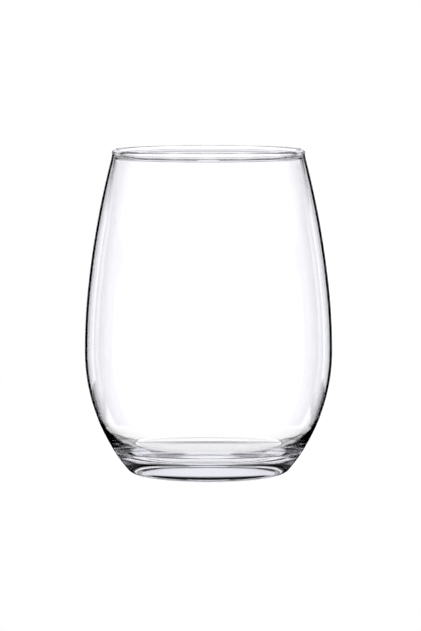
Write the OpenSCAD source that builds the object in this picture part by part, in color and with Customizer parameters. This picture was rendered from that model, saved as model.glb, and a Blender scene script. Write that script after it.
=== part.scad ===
// Stemless wine glass: one blown piece of clear glass with a beaded rim and a thick heel.
// The axis is Z, the table is z = 0, and the section is drawn with its radius along X.

/* [Bowl] */
// Height from the table to the top of the rim
height = 120; // [110:0.5:130]
// Widest diameter, at the belly
belly_d = 92; // [88:0.5:98]
// Height of the belly above the table
belly_z = 45; // [43:0.5:47]
// Radius of the curve from the heel up to the belly
lower_r = 68; // [66:0.5:70]
// Radius of the curve just above the belly
mid_r = 223; // [200:1:250]
// Angle that the curve just above the belly turns through
mid_turn = 6; // [4:0.5:8]
// Radius of the straighter curve up to the rim
upper_r = 327; // [300:1:360]
// Thickness of the wall from the knee to the rim
wall = 0.9; // [0.8:0.05:1.2]

/* [Rim] */
// Diameter of the rounded bead along the rim
bead_d = 2.4; // [2:0.1:3]
// How far the bead stands out past the wall
bead_out = 0.4; // [0.2:0.05:0.6]

/* [Base] */
// Radius of the rounded heel
heel_r = 3.8; // [3.4:0.1:4.2]
// Height of the inner floor above the table, at the centre
floor_z = 8.3; // [7.8:0.1:8.8]
// Radius of the inner floor, which is almost flat
floor_r = 4000; // [3000:100:5000]
// Radius of the inner curve between the floor and the knee
inner_heel_r = 13; // [12:0.2:14]
// Radius of the inner curve at the knee, where the wall grows thicker towards the base
knee_r = 37.5; // [35:0.5:40]
// Height of the knee's upper end
knee_z = 21.8; // [20.4:0.2:23.2]
// Diameter of the shallow hollow under the base
hollow_d = 40; // [36:1:44]
// Depth of the hollow under the base
hollow_depth = 0.1; // [0.08:0.02:0.2]

/* [Hidden] */
$fn = 360;

// Each curve starts this far inside the one that it follows on from, so that the two cross
lap = 0.01;

belly_r = belly_d / 2;
bead_r = bead_d / 2;
rim_z = height - bead_r;

// Centres of the outer curves, and the heights where they follow on
lower_c = [belly_r - lower_r, belly_z];
mid_c = [belly_r - mid_r - lap, belly_z];
mid_end = [cos(mid_turn), sin(mid_turn)];
upper_c = mid_c + (mid_r - upper_r - lap) * mid_end;
mid_top_z = mid_c.y + mid_r * mid_end.y;

// The heel touches the table and the lower curve
foot_r = lower_c.x + sqrt((lower_r - heel_r) ^ 2 - (belly_z - heel_r) ^ 2) + lap;
heel_c = [foot_r, heel_r];
heel_top_z = touch(lower_c, lower_r, heel_c).y;

// Centres of the inner curves below the belly, and the places where they follow on
inner_lower_r = lower_r - wall;
knee_turn = asin((belly_z - knee_z) / inner_lower_r);
knee_c = lower_c + (inner_lower_r - knee_r) * [cos(knee_turn), -sin(knee_turn)];
floor_c = [0, floor_z + floor_r];
inner_heel_c = meet(knee_c, knee_r - inner_heel_r, floor_c, floor_r - inner_heel_r);
inner_heel_top_z = touch(knee_c, knee_r, inner_heel_c).y;
floor_edge_r = touch(floor_c, floor_r, inner_heel_c).x;

// The bead sits on the end of the wall
bead_c = [upper_c.x + sqrt((upper_r + bead_out - bead_r) ^ 2 - (rim_z - upper_c.y) ^ 2), rim_z];

// The hollow is part of a large sphere
hollow_r = (hollow_d ^ 2 / 4 + hollow_depth ^ 2) / (2 * hollow_depth);

// Where a circle about c of radius r touches a circle inside it about p
function touch(c, r, p) = c + r * (p - c) / norm(p - c);

// The lower right crossing of two circles about a and b
function meet(a, ra, b, rb) =
    let (
        d = norm(b - a),
        u = (b - a) / d,
        s = (ra ^ 2 - rb ^ 2 + d ^ 2) / (2 * d)
    )
    a + s * u + sqrt(ra ^ 2 - s ^ 2) * [u.y, -u.x];

// The part of a circle between two heights, to the right of the axis
module slice(c, r, z0, z1) {
    intersection() {
        translate(c) circle(r);
        translate([0, z0]) square([belly_d, z1 - z0]);
    }
}

// The wall's two curves above the belly, and all that is inside them
module upper_section(inset, top_z) {
    slice(mid_c, mid_r - inset, belly_z, (mid_top_z + rim_z) / 2);
    slice(upper_c, upper_r - inset, mid_top_z, top_z);
}

// All that is inside the outer surface
module outer_section() {
    square([foot_r, belly_z]);
    translate(heel_c) circle(heel_r);
    slice(lower_c, lower_r, heel_top_z, mid_top_z);
    upper_section(0, rim_z);
}

// All that is inside the inner surface, which is open at the top
module inner_section() {
    intersection() {
        translate(floor_c) circle(floor_r);
        square([floor_edge_r, belly_z]);
    }
    translate(inner_heel_c) circle(inner_heel_r + 2 * lap);
    slice(knee_c, knee_r + lap, inner_heel_top_z, belly_z);
    slice(lower_c, inner_lower_r, knee_z, mid_top_z);
    upper_section(wall, height);
}

module glass() {
    color([0.93, 0.95, 0.96, 0.35])
    rotate_extrude() {
        difference() {
            outer_section();
            inner_section();
            slice([0, hollow_depth - hollow_r], hollow_r, 0, hollow_depth);
        }
        translate(bead_c) circle(bead_r);
    }
}

glass();
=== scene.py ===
"""A stemless wine glass of clear blown glass in a white light tent."""

import math

import bmesh
import bpy
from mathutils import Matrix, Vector


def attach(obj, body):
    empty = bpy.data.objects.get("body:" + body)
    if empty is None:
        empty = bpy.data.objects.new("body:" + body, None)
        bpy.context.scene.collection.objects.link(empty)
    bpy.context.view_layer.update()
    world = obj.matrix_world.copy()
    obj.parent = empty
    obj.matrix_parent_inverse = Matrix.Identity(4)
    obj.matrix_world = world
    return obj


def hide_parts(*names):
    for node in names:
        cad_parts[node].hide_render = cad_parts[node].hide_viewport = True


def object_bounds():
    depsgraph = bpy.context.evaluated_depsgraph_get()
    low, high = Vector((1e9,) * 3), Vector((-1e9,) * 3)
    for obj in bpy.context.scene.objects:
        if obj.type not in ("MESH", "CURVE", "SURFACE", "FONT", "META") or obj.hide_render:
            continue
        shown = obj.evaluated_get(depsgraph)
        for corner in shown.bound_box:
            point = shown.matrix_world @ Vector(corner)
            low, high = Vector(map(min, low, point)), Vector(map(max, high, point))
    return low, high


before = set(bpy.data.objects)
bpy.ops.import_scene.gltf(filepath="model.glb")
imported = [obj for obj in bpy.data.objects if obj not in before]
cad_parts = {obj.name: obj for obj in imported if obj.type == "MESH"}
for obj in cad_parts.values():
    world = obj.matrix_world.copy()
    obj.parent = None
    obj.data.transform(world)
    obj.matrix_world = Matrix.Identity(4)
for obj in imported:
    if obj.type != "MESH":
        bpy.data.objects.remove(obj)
CAD_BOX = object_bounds()

bl_info = {
    "name": "Stemless Wine Glass",
    "version": (1, 0, 0),
    "blender": (4, 5, 0),
    "location": "View3D > Sidebar > Wine Glass",
    "description": "Builds a clear stemless wine glass and its light tent",
    "category": "Object",
}

MM = 0.001

# Points on a curve of the section are at most this far apart, as a length and as an angle
POINT_STEP = 1.0 * MM
POINT_TURN = math.radians(4)
# Points of the section, and points of the turned shape, are one where they are closer than this
SECTION_GAP = 0.01 * MM
MERGE_GAP = 0.001 * MM

# How much soda-lime glass bends light, and how strongly it tints it
GLASS_IOR = 1.52
TINT_DENSITY = 2.0
# Waves that the mould leaves, across and in height
WAVE_SIZE = 16 * MM
WAVE_HEIGHT = 0.003 * MM
# Scuffs on the foot, the noise levels between which one shows, and the heights between which they fade in
SCUFF_SIZE = 0.8 * MM
SCUFF_ROUGHNESS = 0.3
SCUFF_NOISE = (0.5, 0.75)
SCUFF_HEIGHTS = (0.04 * MM, 0.01 * MM)
# Satin on the underside, and the heights between which it fades in
SATIN_ROUGHNESS = 0.1
SATIN_HEIGHTS = (0.5 * MM, 0.2 * MM)

# The floor lies just under the foot, glows near the glass, and turns to plain white between two radii
FLOOR_DROP = 0.05 * MM
FLOOR_SEGMENTS = 128
FLOOR_GLOW = 0.95
FLOOR_FADE = (120 * MM, 300 * MM)
# Half the width of the soft edge of the spot under the glass
SPOT_EDGE = 2 * MM

# An angle past straight up, so that a light that ends here has no edge there
PAST_TOP = math.radians(100)
# Light that is reflected more often than this inside the thick base is lost, so its corners stay dark
BOUNCES = 9
# How far the camera sees, in metres
CAMERA_REACH = 100


def linear(hex_colour):
    """An sRGB hex colour such as F2F4F5 as linear red, green and blue, with an alpha of 1."""
    values = [int(hex_colour[i:i + 2], 16) / 255 for i in (0, 2, 4)]
    return tuple(v / 12.92 if v <= 0.04045 else ((v + 0.055) / 1.055) ** 2.4 for v in values) + (1.0,)


def add(tree, kind, inputs=None, **settings):
    """A node of that kind with its settings; inputs are values, or sockets to link from."""
    node = tree.nodes.new(kind)
    for name, value in settings.items():
        setattr(node, name, value)
    for key, value in (inputs or {}).items():
        if isinstance(value, bpy.types.NodeSocket):
            tree.links.new(value, node.inputs[key])
        else:
            node.inputs[key].default_value = value
    return node


class GlassSizes(bpy.types.PropertyGroup):
    """Sizes and tint of the glass. Lengths are in metres."""

    height: bpy.props.FloatProperty(
        name="Height", description="From the table to the top of the rim",
        default=CAD_BOX[1][2] - CAD_BOX[0][2], unit="LENGTH")
    belly: bpy.props.FloatProperty(
        name="Belly diameter", description="Widest diameter of the bowl",
        default=CAD_BOX[1][0] - CAD_BOX[0][0], unit="LENGTH")
    belly_z: bpy.props.FloatProperty(
        name="Belly height", description="Height of the widest place above the table",
        default=45 * MM, unit="LENGTH")
    lower_r: bpy.props.FloatProperty(
        name="Lower curve", description="Radius of the curve from the heel up to the belly",
        default=68 * MM, unit="LENGTH")
    mid_r: bpy.props.FloatProperty(
        name="Middle curve", description="Radius of the curve just above the belly",
        default=223 * MM, unit="LENGTH")
    mid_turn: bpy.props.FloatProperty(
        name="Middle turn", description="Angle that the curve just above the belly turns through",
        default=math.radians(6), subtype="ANGLE")
    upper_r: bpy.props.FloatProperty(
        name="Upper curve", description="Radius of the straighter curve up to the rim",
        default=327 * MM, unit="LENGTH")
    wall: bpy.props.FloatProperty(
        name="Wall", description="Thickness of the wall from the knee to the rim",
        default=0.9 * MM, unit="LENGTH")
    bead: bpy.props.FloatProperty(
        name="Rim bead", description="Diameter of the rounded bead along the rim",
        default=2.4 * MM, unit="LENGTH")
    bead_out: bpy.props.FloatProperty(
        name="Bead step", description="How far the bead stands out past the wall",
        default=0.4 * MM, unit="LENGTH")
    neck_r: bpy.props.FloatProperty(
        name="Bead fillet", description="Radius of the hollow curve that runs from the wall into the bead",
        default=2.0 * MM, unit="LENGTH")
    heel_r: bpy.props.FloatProperty(
        name="Heel", description="Radius of the rounded edge round the base",
        default=3.8 * MM, unit="LENGTH")
    floor_z: bpy.props.FloatProperty(
        name="Floor height", description="Height of the inner floor above the table, at the centre",
        default=8.3 * MM, unit="LENGTH")
    floor_r: bpy.props.FloatProperty(
        name="Floor curve", description="Radius of the inner floor, which is almost flat",
        default=4000 * MM, unit="LENGTH")
    inner_heel_r: bpy.props.FloatProperty(
        name="Inner heel", description="Radius of the inner curve between the floor and the knee",
        default=13 * MM, unit="LENGTH")
    knee_r: bpy.props.FloatProperty(
        name="Knee curve",
        description="Radius of the inner curve where the wall grows thicker towards the base",
        default=37.5 * MM, unit="LENGTH")
    knee_z: bpy.props.FloatProperty(
        name="Knee height", description="Height of the knee's upper end",
        default=21.8 * MM, unit="LENGTH")
    hollow: bpy.props.FloatProperty(
        name="Hollow diameter", description="Diameter of the shallow hollow under the base",
        default=40 * MM, unit="LENGTH")
    hollow_depth: bpy.props.FloatProperty(
        name="Hollow depth", description="Depth of the hollow under the base",
        default=0.1 * MM, unit="LENGTH")
    segments: bpy.props.IntProperty(
        name="Segments", description="Steps round the axis", default=248, min=32, max=512)
    tint: bpy.props.FloatVectorProperty(
        name="Tint", description="Colour that light takes on in thick glass",
        default=linear("DDDDFF"), size=4, min=0, max=1, subtype="COLOR")


def angle_to(a, b):
    """Direction from a to b in the section plane, in radians."""
    return math.atan2(b.y - a.y, b.x - a.x)


def crossing(a, ra, b, rb):
    """The crossing of two circles about a and b that lies to the right of the line from a to b."""
    across = b - a
    u = across.normalized()
    s = (ra ** 2 - rb ** 2 + across.length_squared) / (2 * across.length)
    return a + s * u + math.sqrt(ra ** 2 - s ** 2) * Vector((u.y, -u.x))


def arc(centre, radius, start, end):
    """Points on an arc from angle start to angle end."""
    turn = abs(end - start)
    steps = max(2, math.ceil(turn * radius / POINT_STEP), math.ceil(turn / POINT_TURN))
    angles = [start + (end - start) * i / steps for i in range(steps + 1)]
    return [centre + radius * Vector((math.cos(t), math.sin(t))) for t in angles]


def glass_section(s):
    """Half the section as points (radius, height), from the hollow's middle round to the inner floor's."""
    belly_r = s.belly / 2
    bead_r = s.bead / 2
    rim_z = s.height - bead_r
    lower_c = Vector((belly_r - s.lower_r, s.belly_z))
    mid_c = Vector((belly_r - s.mid_r, s.belly_z))
    upper_c = mid_c + (s.mid_r - s.upper_r) * Vector((math.cos(s.mid_turn), math.sin(s.mid_turn)))

    foot_r = lower_c.x + math.sqrt((s.lower_r - s.heel_r) ** 2 - (s.belly_z - s.heel_r) ** 2)
    heel_c = Vector((foot_r, s.heel_r))
    heel_top = angle_to(lower_c, heel_c)

    hollow_r = (s.hollow ** 2 / 4 + s.hollow_depth ** 2) / (2 * s.hollow_depth)
    hollow_c = Vector((0, s.hollow_depth - hollow_r))
    hollow_edge = math.acos(s.hollow / 2 / hollow_r)

    bead_reach = s.upper_r + s.bead_out - bead_r
    bead_c = Vector((upper_c.x + math.sqrt(bead_reach ** 2 - (rim_z - upper_c.y) ** 2), rim_z))
    out_neck = crossing(upper_c, s.upper_r + s.neck_r, bead_c, bead_r + s.neck_r)
    out_neck_start = angle_to(out_neck, upper_c) % math.tau
    out_neck_end = angle_to(out_neck, bead_c) % math.tau
    in_neck = crossing(upper_c, s.upper_r - s.wall - s.neck_r, bead_c, bead_r + s.neck_r)

    inner_lower_r = s.lower_r - s.wall
    knee = -math.asin((s.belly_z - s.knee_z) / inner_lower_r)
    knee_c = lower_c + (inner_lower_r - s.knee_r) * Vector((math.cos(knee), math.sin(knee)))
    floor_c = Vector((0, s.floor_z + s.floor_r))
    inner_heel_c = crossing(knee_c, s.knee_r - s.inner_heel_r, floor_c, s.floor_r - s.inner_heel_r)
    inner_heel_top = angle_to(knee_c, inner_heel_c)
    floor_edge = angle_to(floor_c, inner_heel_c)

    down = -math.pi / 2
    runs = [
        arc(hollow_c, hollow_r, -down, hollow_edge),
        arc(heel_c, s.heel_r, down, heel_top),
        arc(lower_c, s.lower_r, heel_top, 0),
        arc(mid_c, s.mid_r, 0, s.mid_turn),
        arc(upper_c, s.upper_r, s.mid_turn, angle_to(upper_c, out_neck)),
        arc(out_neck, s.neck_r, out_neck_start, out_neck_end),
        arc(bead_c, bead_r, angle_to(bead_c, out_neck), angle_to(bead_c, in_neck) % math.tau),
        arc(in_neck, s.neck_r, angle_to(in_neck, bead_c), angle_to(upper_c, in_neck)),
        arc(upper_c, s.upper_r - s.wall, angle_to(upper_c, in_neck), s.mid_turn),
        arc(mid_c, s.mid_r - s.wall, s.mid_turn, 0),
        arc(lower_c, inner_lower_r, 0, knee),
        arc(knee_c, s.knee_r, knee, inner_heel_top),
        arc(inner_heel_c, s.inner_heel_r, inner_heel_top, floor_edge),
        arc(floor_c, s.floor_r, floor_edge, down),
    ]
    points = []
    for run in runs:
        for point in run:
            if not points or (point - points[-1]).length > SECTION_GAP:
                points.append(point)
    return points


def lathe_tree():
    """A Geometry Nodes tree that turns a chain of points in the XZ plane round the Z axis."""
    tree = bpy.data.node_groups.new("lathe", "GeometryNodeTree")
    tree.is_modifier = True
    sockets = (("Section", "Geometry"), ("Segments", "Int"), ("Merge", "Float"), ("Material", "Material"))
    for name, kind in sockets:
        tree.interface.new_socket(name, in_out="INPUT", socket_type="NodeSocket" + kind)
    tree.interface.new_socket("Glass", in_out="OUTPUT", socket_type="NodeSocketGeometry")
    given = add(tree, "NodeGroupInput").outputs

    # A grid with a row for each step round the axis and a point in it for each point of the section
    size = add(tree, "GeometryNodeAttributeDomainSize", {"Geometry": given["Section"]})
    count = size.outputs["Point Count"]
    rows = add(tree, "ShaderNodeMath", {0: given["Segments"], 1: 1.0}, operation="ADD").outputs[0]
    grid = add(tree, "GeometryNodeMeshGrid", {"Vertices X": rows, "Vertices Y": count})

    # Each point of the grid moves to its point of the section, turned by its row's part of a full turn
    index = add(tree, "GeometryNodeInputIndex").outputs[0]
    around = add(tree, "ShaderNodeMath", {0: index, 1: count}, operation="DIVIDE").outputs[0]
    around = add(tree, "ShaderNodeMath", {0: around}, operation="FLOOR").outputs[0]
    along = add(tree, "ShaderNodeMath", {0: index, 1: count}, operation="MODULO").outputs[0]
    turn = add(tree, "ShaderNodeMath", {0: around, 1: given["Segments"]}, operation="DIVIDE").outputs[0]
    turn = add(tree, "ShaderNodeMath", {0: turn, 1: math.tau}, operation="MULTIPLY").outputs[0]
    place = add(tree, "GeometryNodeInputPosition").outputs[0]
    point = add(
        tree, "GeometryNodeSampleIndex",
        {"Geometry": given["Section"], "Value": place, "Index": along}, data_type="FLOAT_VECTOR").outputs[0]
    turned = add(
        tree, "ShaderNodeVectorRotate", {"Vector": point, "Angle": turn}, rotation_type="Z_AXIS").outputs[0]
    shape = add(
        tree, "GeometryNodeSetPosition", {"Geometry": grid.outputs["Mesh"], "Position": turned}).outputs[0]

    # The first and last rows, and the points on the axis, become one
    shape = add(
        tree, "GeometryNodeMergeByDistance", {"Geometry": shape, "Distance": given["Merge"]}).outputs[0]
    shape = add(tree, "GeometryNodeSetShadeSmooth", {"Geometry": shape}).outputs[0]
    shape = add(tree, "GeometryNodeRealizeInstances", {"Geometry": shape}).outputs[0]
    shape = add(
        tree, "GeometryNodeSetMaterial", {"Geometry": shape, "Material": given["Material"]}).outputs[0]
    add(tree, "NodeGroupOutput", {"Glass": shape})
    return tree


def socket_id(tree, name):
    """The identifier of a tree's input socket."""
    return next(i.identifier for i in tree.interface.items_tree if i.in_out == "INPUT" and i.name == name)


def clear_glass(tint):
    """Soda-lime glass, blown in a mould and fire-polished.

    It is bright and almost colourless, with a trace of blue where it is thick. The mould leaves the wall a
    little wavy, which the eye sees only as a tremble in the dark edges. The underside met the mould and stays
    faintly satin, which softens what the base shows, and use leaves fine scuffs on the foot ring.
    """
    material = bpy.data.materials.new("clear soda-lime glass")
    material.use_nodes = True
    tree = material.node_tree
    tree.nodes.clear()
    place = add(tree, "ShaderNodeTexCoord").outputs["Object"]

    wave = add(tree, "ShaderNodeTexNoise", {
        "Vector": place, "Scale": 1 / WAVE_SIZE, "Detail": 1.0, "Roughness": 0.4}).outputs["Fac"]
    wavy = add(tree, "ShaderNodeBump", {
        "Height": wave, "Strength": 1.0, "Distance": WAVE_HEIGHT}).outputs[0]

    height = add(tree, "ShaderNodeSeparateXYZ", {0: place}).outputs["Z"]
    foot = add(tree, "ShaderNodeMapRange", {
        "Value": height, "From Min": SCUFF_HEIGHTS[0], "From Max": SCUFF_HEIGHTS[1]}).outputs[0]
    scratch = add(tree, "ShaderNodeTexNoise", {
        "Vector": place, "Scale": 1 / SCUFF_SIZE, "Detail": 4.0}).outputs["Fac"]
    scratch = add(tree, "ShaderNodeMapRange", {
        "Value": scratch, "From Min": SCUFF_NOISE[0], "From Max": SCUFF_NOISE[1],
        "To Min": 0.0, "To Max": SCUFF_ROUGHNESS}).outputs[0]
    scuffed = add(tree, "ShaderNodeMath", {0: foot, 1: scratch}, operation="MULTIPLY").outputs[0]
    under = add(tree, "ShaderNodeMapRange", {
        "Value": height, "From Min": SATIN_HEIGHTS[0], "From Max": SATIN_HEIGHTS[1],
        "To Min": 0.0, "To Max": SATIN_ROUGHNESS}).outputs[0]
    worn = add(tree, "ShaderNodeMath", {0: scuffed, 1: under}, operation="MAXIMUM").outputs[0]

    glass = add(tree, "ShaderNodeBsdfPrincipled", {
        "Base Color": linear("FFFFFF"), "Roughness": worn, "IOR": GLASS_IOR,
        "Transmission Weight": 1.0, "Normal": wavy})
    depth = add(tree, "ShaderNodeVolumeAbsorption", {"Color": tint, "Density": TINT_DENSITY})
    add(tree, "ShaderNodeOutputMaterial", {"Surface": glass.outputs[0], "Volume": depth.outputs[0]})
    return material


class MakeGlass(bpy.types.Operator):
    """Turn the section of the glass round its axis"""

    bl_idname = "wine_glass.make_glass"
    bl_label = "Glass"

    def execute(self, context):
        sizes = context.scene.glass_sizes
        points = glass_section(sizes)
        mesh = bpy.data.meshes.new("glass_section")
        mesh.from_pydata([(p.x, 0, p.y) for p in points], [(i, i + 1) for i in range(len(points) - 1)], [])
        source = bpy.data.objects.new("glass_section", mesh)
        context.collection.objects.link(source)
        tree = lathe_tree()
        lathe = source.modifiers.new("lathe", "NODES")
        lathe.node_group = tree
        lathe[socket_id(tree, "Segments")] = sizes.segments
        lathe[socket_id(tree, "Merge")] = MERGE_GAP
        lathe[socket_id(tree, "Material")] = clear_glass(sizes.tint)
        turned = bpy.data.meshes.new_from_object(source.evaluated_get(context.evaluated_depsgraph_get()))
        # The first slot is the section's own, and empty
        turned.materials.pop(index=0)
        source.modifiers.remove(lathe)
        bpy.data.objects.remove(source)

        bm = bmesh.new()
        bm.from_mesh(turned)
        bmesh.ops.recalc_face_normals(bm, faces=bm.faces)
        bm.to_mesh(turned)
        bm.free()
        turned.name = "wine_glass"
        piece = bpy.data.objects.new("wine_glass", turned)
        context.collection.objects.link(piece)
        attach(piece, "root")
        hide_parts("glass")
        return {"FINISHED"}


class StageSettings(bpy.types.PropertyGroup):
    """Camera, floor and light. Directions are as the glass sees them, with 0 degrees straight behind it."""

    distance: bpy.props.FloatProperty(
        name="Camera distance", description="From the axis of the glass to the camera, along the table",
        default=1194 * MM, unit="LENGTH")
    side: bpy.props.FloatProperty(
        name="Camera side", description="How far the camera stands to the right of the axis",
        default=0.74 * MM, unit="LENGTH")
    camera_z: bpy.props.FloatProperty(
        name="Camera height", description="Height of the camera above the table",
        default=174.3 * MM, unit="LENGTH")
    pitch: bpy.props.FloatProperty(
        name="Camera pitch", description="Angle that the camera looks down by",
        default=math.radians(5.546), subtype="ANGLE")
    lens: bpy.props.FloatProperty(
        name="Lens", description="Focal length in millimetres, on a 36 mm sensor", default=184.6)
    tent_colour: bpy.props.FloatVectorProperty(
        name="Tent colour", description="Colour of the tent's cloth as the glass sees it",
        default=linear("FAFAFF"), size=4, min=0, max=1, subtype="COLOR")
    panels: bpy.props.IntProperty(
        name="Panels", description="White panels evenly round the glass, from under the table up to the slot",
        default=4)
    panel_half: bpy.props.FloatProperty(
        name="Panel width", description="Half the angle that a panel fills",
        default=math.radians(9.6), subtype="ANGLE")
    panel_light: bpy.props.FloatProperty(
        name="Panel light", description="Brightness of the white panels", default=1.3)
    strip_turn: bpy.props.FloatProperty(
        name="Strip angle", description="Angle from the middle of the back to the strip on either side of it",
        default=math.radians(36.5), subtype="ANGLE")
    strip_half: bpy.props.FloatProperty(
        name="Strip width", description="Half the angle that a strip fills",
        default=math.radians(9.5), subtype="ANGLE")
    strip_low: bpy.props.FloatProperty(
        name="Strip edge", description="Angle above the table where the strips start",
        default=math.radians(-12), subtype="ANGLE")
    strip_light: bpy.props.FloatProperty(
        name="Strip light", description="Brightness of the strips", default=0.9)
    corner_low: bpy.props.FloatProperty(
        name="Corner edge", description="Angle below which there is a panel in each back corner too",
        default=math.radians(-21), subtype="ANGLE")
    back_half: bpy.props.FloatProperty(
        name="Back width", description="Half the angle that the lit back of the tent fills",
        default=math.radians(44), subtype="ANGLE")
    back_light: bpy.props.FloatProperty(
        name="Back light", description="Brightness of the back of the tent", default=1.0)
    upper_low: bpy.props.FloatProperty(
        name="Upper edge", description="Angle above the table where the back of the tent gets dimmer",
        default=math.radians(24), subtype="ANGLE")
    upper_light: bpy.props.FloatProperty(
        name="Upper light", description="Brightness of the upper part of the back", default=0.75)
    base_high: bpy.props.FloatProperty(
        name="Base edge", description="Angle below which the tent is evenly grey under the table",
        default=math.radians(-42), subtype="ANGLE")
    base_light: bpy.props.FloatProperty(
        name="Base light", description="Brightness of the tent under the table", default=0.65)
    side_light: bpy.props.FloatProperty(
        name="Side light", description="Brightness of the sides, between the back and the front", default=0.2)
    front_half: bpy.props.FloatProperty(
        name="Front width", description="Half the angle that the lit front fills, round the camera",
        default=math.radians(105), subtype="ANGLE")
    front_low: bpy.props.FloatProperty(
        name="Front edge", description="Angle above the table where the lit front and sides start",
        default=math.radians(8), subtype="ANGLE")
    front_high: bpy.props.FloatProperty(
        name="Front top", description="Angle above the table where the lit front and sides end",
        default=math.radians(30), subtype="ANGLE")
    front_light: bpy.props.FloatProperty(
        name="Front light", description="Brightness of the front of the tent", default=0.6)
    roof_low: bpy.props.FloatProperty(
        name="Roof edge", description="Angle above the table where the roof of the tent starts",
        default=math.radians(50), subtype="ANGLE")
    roof_light: bpy.props.FloatProperty(
        name="Roof light", description="Brightness of the roof of the tent", default=0.2)
    crown_low: bpy.props.FloatProperty(
        name="Crown edge", description="Angle above the table where the opening straight above starts",
        default=math.radians(83), subtype="ANGLE")
    crown_light: bpy.props.FloatProperty(
        name="Crown light", description="Brightness of the opening straight above", default=1.0)
    slot_low: bpy.props.FloatProperty(
        name="Slot start", description="Angle above the table where the dark slot round the tent starts",
        default=math.radians(4.5), subtype="ANGLE")
    slot_high: bpy.props.FloatProperty(
        name="Slot end", description="Angle above the table where the dark slot ends at the back",
        default=math.radians(7.9), subtype="ANGLE")
    gap_light: bpy.props.FloatProperty(
        name="Gap light", description="Brightness of the dark gaps and the dark slot", default=0.0)
    soft: bpy.props.FloatProperty(
        name="Soft edge", description="Angle over which the edge of a light fades",
        default=math.radians(1), subtype="ANGLE")
    card_colour: bpy.props.FloatVectorProperty(
        name="Card colour", description="Colour of the floor's card, which shows the shadow",
        default=linear("A0A0A0"), size=4, min=0, max=1, subtype="COLOR")
    # The spot, the table round it and the near table are painted light that only the glass sees: a painted
    # glow round the foot, dimmer under the glass as painted shade.
    spot_r: bpy.props.FloatProperty(
        name="Spot", description="Radius of the lit spot under the glass", default=28 * MM, unit="LENGTH")
    painted_spot_light: bpy.props.FloatProperty(
        name="Spot light", description="Brightness of the spot under the glass", default=0.9)
    painted_table_light: bpy.props.FloatProperty(
        name="Table light", description="Brightness of the table round that spot", default=1.15)
    near_r: bpy.props.FloatProperty(
        name="Near table", description="Radius of the part of the table that the glass sees",
        default=62 * MM, unit="LENGTH")
    floor_r: bpy.props.FloatProperty(
        name="Floor radius", description="Radius of the pale floor", default=600 * MM, unit="LENGTH")


def tent_world(s):
    """White to the camera; the glass sees a lit back, front, roof and panels with dark gaps between them."""
    world = bpy.data.worlds.new("light tent")
    world.use_nodes = True
    tree = world.node_tree
    tree.nodes.clear()
    way = add(tree, "ShaderNodeTexCoord").outputs["Generated"]
    axes = add(tree, "ShaderNodeSeparateXYZ", {0: way}).outputs
    turn = add(tree, "ShaderNodeMath", {0: axes["X"], 1: axes["Y"]}, operation="ARCTAN2").outputs[0]
    away = add(tree, "ShaderNodeMath", {0: turn}, operation="ABSOLUTE").outputs[0]
    fold = add(tree, "ShaderNodeMath", {0: turn, 1: math.pi / s.panels}, operation="PINGPONG").outputs[0]
    rise = add(tree, "ShaderNodeMath", {0: axes["Z"]}, operation="ARCSINE").outputs[0]
    path = add(tree, "ShaderNodeLightPath").outputs
    through = path["Is Transmission Ray"]

    # For each light: the rays that see it, with 1 for all, the angle that places it round the glass, its
    # middle and half its width, the angles above the table where it starts and ends, and its brightness.
    # A later light covers an earlier one.
    lights = (
        (1.0, away, 0, math.tau, s.front_low, s.front_high, s.side_light),
        (1.0, away, math.pi, s.front_half, s.front_low, s.front_high, s.front_light),
        (1.0, away, 0, s.back_half, s.slot_high, s.upper_low, s.back_light),
        (1.0, away, 0, s.back_half, s.upper_low, PAST_TOP, s.upper_light),
        (1.0, away, 0, math.tau, s.roof_low, PAST_TOP, s.roof_light),
        (1.0, away, 0, math.tau, s.crown_low, PAST_TOP, s.crown_light),
        (1.0, away, s.strip_turn, s.strip_half, s.strip_low, s.slot_low, s.strip_light),
        (1.0, fold, 0, s.panel_half, -PAST_TOP, s.slot_low, s.panel_light),
        (1.0, away, math.pi * 3 / 4, s.panel_half, -PAST_TOP, s.slot_low, s.panel_light),
        (through, away, math.pi / 4, s.panel_half, -PAST_TOP, s.corner_low, s.panel_light),
        (1.0, away, 0, math.tau, -PAST_TOP, s.base_high, s.base_light),
    )
    sky = s.gap_light
    for inside, turned, middle, half, low, high, light in lights:
        for angle, centre, reach in ((turned, middle, half), (rise, (low + high) / 2, (high - low) / 2)):
            off = add(tree, "ShaderNodeMath", {0: angle, 1: centre}, operation="SUBTRACT").outputs[0]
            off = add(tree, "ShaderNodeMath", {0: off}, operation="ABSOLUTE").outputs[0]
            band = add(tree, "ShaderNodeMapRange", {
                "Value": off, "From Min": reach + s.soft / 2, "From Max": reach - s.soft / 2}).outputs[0]
            inside = add(tree, "ShaderNodeMath", {0: inside, 1: band}, operation="MULTIPLY").outputs[0]
        sky = add(tree, "ShaderNodeMix", {"Factor": inside, "A": sky, "B": light}).outputs["Result"]

    tent = add(tree, "ShaderNodeBackground", {"Color": s.tent_colour, "Strength": sky}).outputs[0]
    white = add(tree, "ShaderNodeBackground", {"Color": linear("FFFFFF")}).outputs[0]
    light = add(tree, "ShaderNodeMixShader", {0: path["Is Camera Ray"], 1: tent, 2: white}).outputs[0]
    add(tree, "ShaderNodeOutputWorld", {"Surface": light})
    return world


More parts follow.
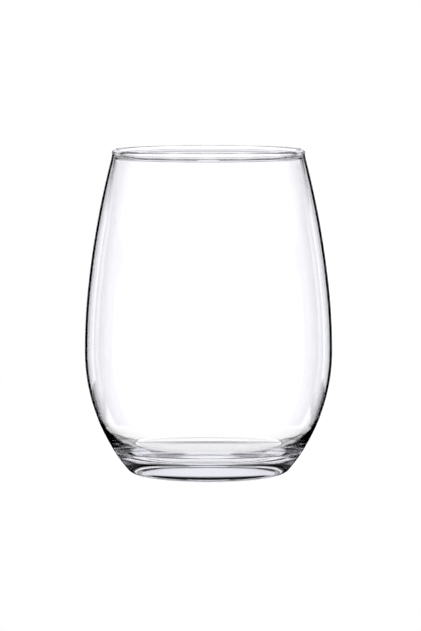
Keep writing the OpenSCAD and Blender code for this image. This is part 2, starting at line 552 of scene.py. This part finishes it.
def pale_floor(s):
    """Matt white card, lit from below so that it is as white as the tent, with a faint shadow round the foot.

    Through the glass it shows painted light: a glow on the table near the foot, dimmer in the spot under the
    glass as painted shade, and the tent shows past that part. In reflections it is painted dark beyond that
    spot, as a painted shadow round the foot.
    """
    material = bpy.data.materials.new("matt white card")
    material.use_nodes = True
    tree = material.node_tree
    tree.nodes.clear()
    place = add(tree, "ShaderNodeTexCoord").outputs["Object"]
    out = add(tree, "ShaderNodeVectorMath", {0: place}, operation="LENGTH").outputs["Value"]
    path = add(tree, "ShaderNodeLightPath").outputs

    matt = add(tree, "ShaderNodeBsdfDiffuse", {"Color": s.card_colour}).outputs[0]
    glow = add(tree, "ShaderNodeEmission", {"Color": linear("FFFFFF"), "Strength": FLOOR_GLOW}).outputs[0]
    card = add(tree, "ShaderNodeAddShader", {0: matt, 1: glow}).outputs[0]
    white = add(tree, "ShaderNodeEmission", {"Color": linear("FFFFFF"), "Strength": 1.0}).outputs[0]
    far = add(tree, "ShaderNodeMapRange", {
        "Value": out, "From Min": FLOOR_FADE[0], "From Max": FLOOR_FADE[1]},
        interpolation_type="SMOOTHSTEP").outputs[0]
    card = add(tree, "ShaderNodeMixShader", {0: far, 1: card, 2: white}).outputs[0]

    # Is Glossy Ray is also set for rays through clear glass, so a reflection is any ray that is not one
    mirrored = add(tree, "ShaderNodeMath", {
        0: 1.0, 1: path["Is Transmission Ray"]}, operation="SUBTRACT").outputs[0]
    # What the glass sees here is painted light: an emission glow round the foot, dimmer in the spot under the
    # glass as painted shade, and painted dark beyond that spot in reflections as a painted shadow.
    past = add(tree, "ShaderNodeMapRange", {
        "Value": out, "From Min": s.spot_r - SPOT_EDGE, "From Max": s.spot_r + SPOT_EDGE}).outputs[0]
    lit = add(tree, "ShaderNodeMix", {
        "Factor": past, "A": s.painted_spot_light, "B": s.painted_table_light}).outputs["Result"]
    painted_shade = add(tree, "ShaderNodeMath", {0: mirrored, 1: past}, operation="MULTIPLY").outputs[0]
    lit = add(tree, "ShaderNodeMix", {"Factor": painted_shade, "A": lit, "B": 0.0}).outputs["Result"]
    table = add(tree, "ShaderNodeEmission", {"Color": linear("FFFFFF"), "Strength": lit}).outputs[0]
    clear = add(tree, "ShaderNodeBsdfTransparent").outputs[0]
    beyond = add(tree, "ShaderNodeMath", {0: out, 1: s.near_r}, operation="GREATER_THAN").outputs[0]
    seen = add(tree, "ShaderNodeMixShader", {0: beyond, 1: table, 2: clear}).outputs[0]

    both = add(tree, "ShaderNodeMixShader", {0: path["Is Camera Ray"], 1: seen, 2: card}).outputs[0]
    add(tree, "ShaderNodeOutputMaterial", {"Surface": both})
    return material


class MakeStage(bpy.types.Operator):
    """Set the camera, the floor and the light"""

    bl_idname = "wine_glass.make_stage"
    bl_label = "Stage"

    def execute(self, context):
        scene = context.scene
        settings = scene.glass_stage
        scene.world = tent_world(settings)
        scene.view_settings.view_transform = "Standard"
        scene.cycles.max_bounces = BOUNCES
        scene.cycles.glossy_bounces = BOUNCES
        scene.cycles.transmission_bounces = BOUNCES

        mesh = bpy.data.meshes.new("floor")
        bm = bmesh.new()
        bmesh.ops.create_circle(bm, cap_ends=True, radius=settings.floor_r, segments=FLOOR_SEGMENTS)
        bm.to_mesh(mesh)
        bm.free()
        mesh.materials.append(pale_floor(settings))
        floor = bpy.data.objects.new("floor", mesh)
        floor.location.z = -FLOOR_DROP
        context.collection.objects.link(floor)

        data = bpy.data.cameras.new("camera")
        data.lens = settings.lens
        data.clip_end = CAMERA_REACH
        camera = bpy.data.objects.new("camera", data)
        camera.location = (settings.side, -settings.distance, settings.camera_z)
        camera.rotation_euler = (math.pi / 2 - settings.pitch, 0, 0)
        context.collection.objects.link(camera)
        scene.camera = camera
        return {"FINISHED"}


class GlassPanel(bpy.types.Panel):
    """Sizes of the glass and its stage"""

    bl_idname = "VIEW3D_PT_wine_glass"
    bl_label = "Wine Glass"
    bl_space_type = "VIEW_3D"
    bl_region_type = "UI"
    bl_category = "Wine Glass"

    def draw(self, context):
        for group in (context.scene.glass_sizes, context.scene.glass_stage):
            for name in group.__annotations__:
                self.layout.prop(group, name)
        for operator in (MakeGlass, MakeStage):
            self.layout.operator(operator.bl_idname)


CLASSES = (GlassSizes, StageSettings, MakeGlass, MakeStage, GlassPanel)


def register():
    for cls in CLASSES:
        bpy.utils.register_class(cls)
    bpy.types.Scene.glass_sizes = bpy.props.PointerProperty(type=GlassSizes)
    bpy.types.Scene.glass_stage = bpy.props.PointerProperty(type=StageSettings)


def unregister():
    del bpy.types.Scene.glass_stage
    del bpy.types.Scene.glass_sizes
    for cls in reversed(CLASSES):
        bpy.utils.unregister_class(cls)


def main():
    register()
    bpy.ops.wine_glass.make_glass()
    bpy.ops.wine_glass.make_stage()


if __name__ == "__main__":
    main()
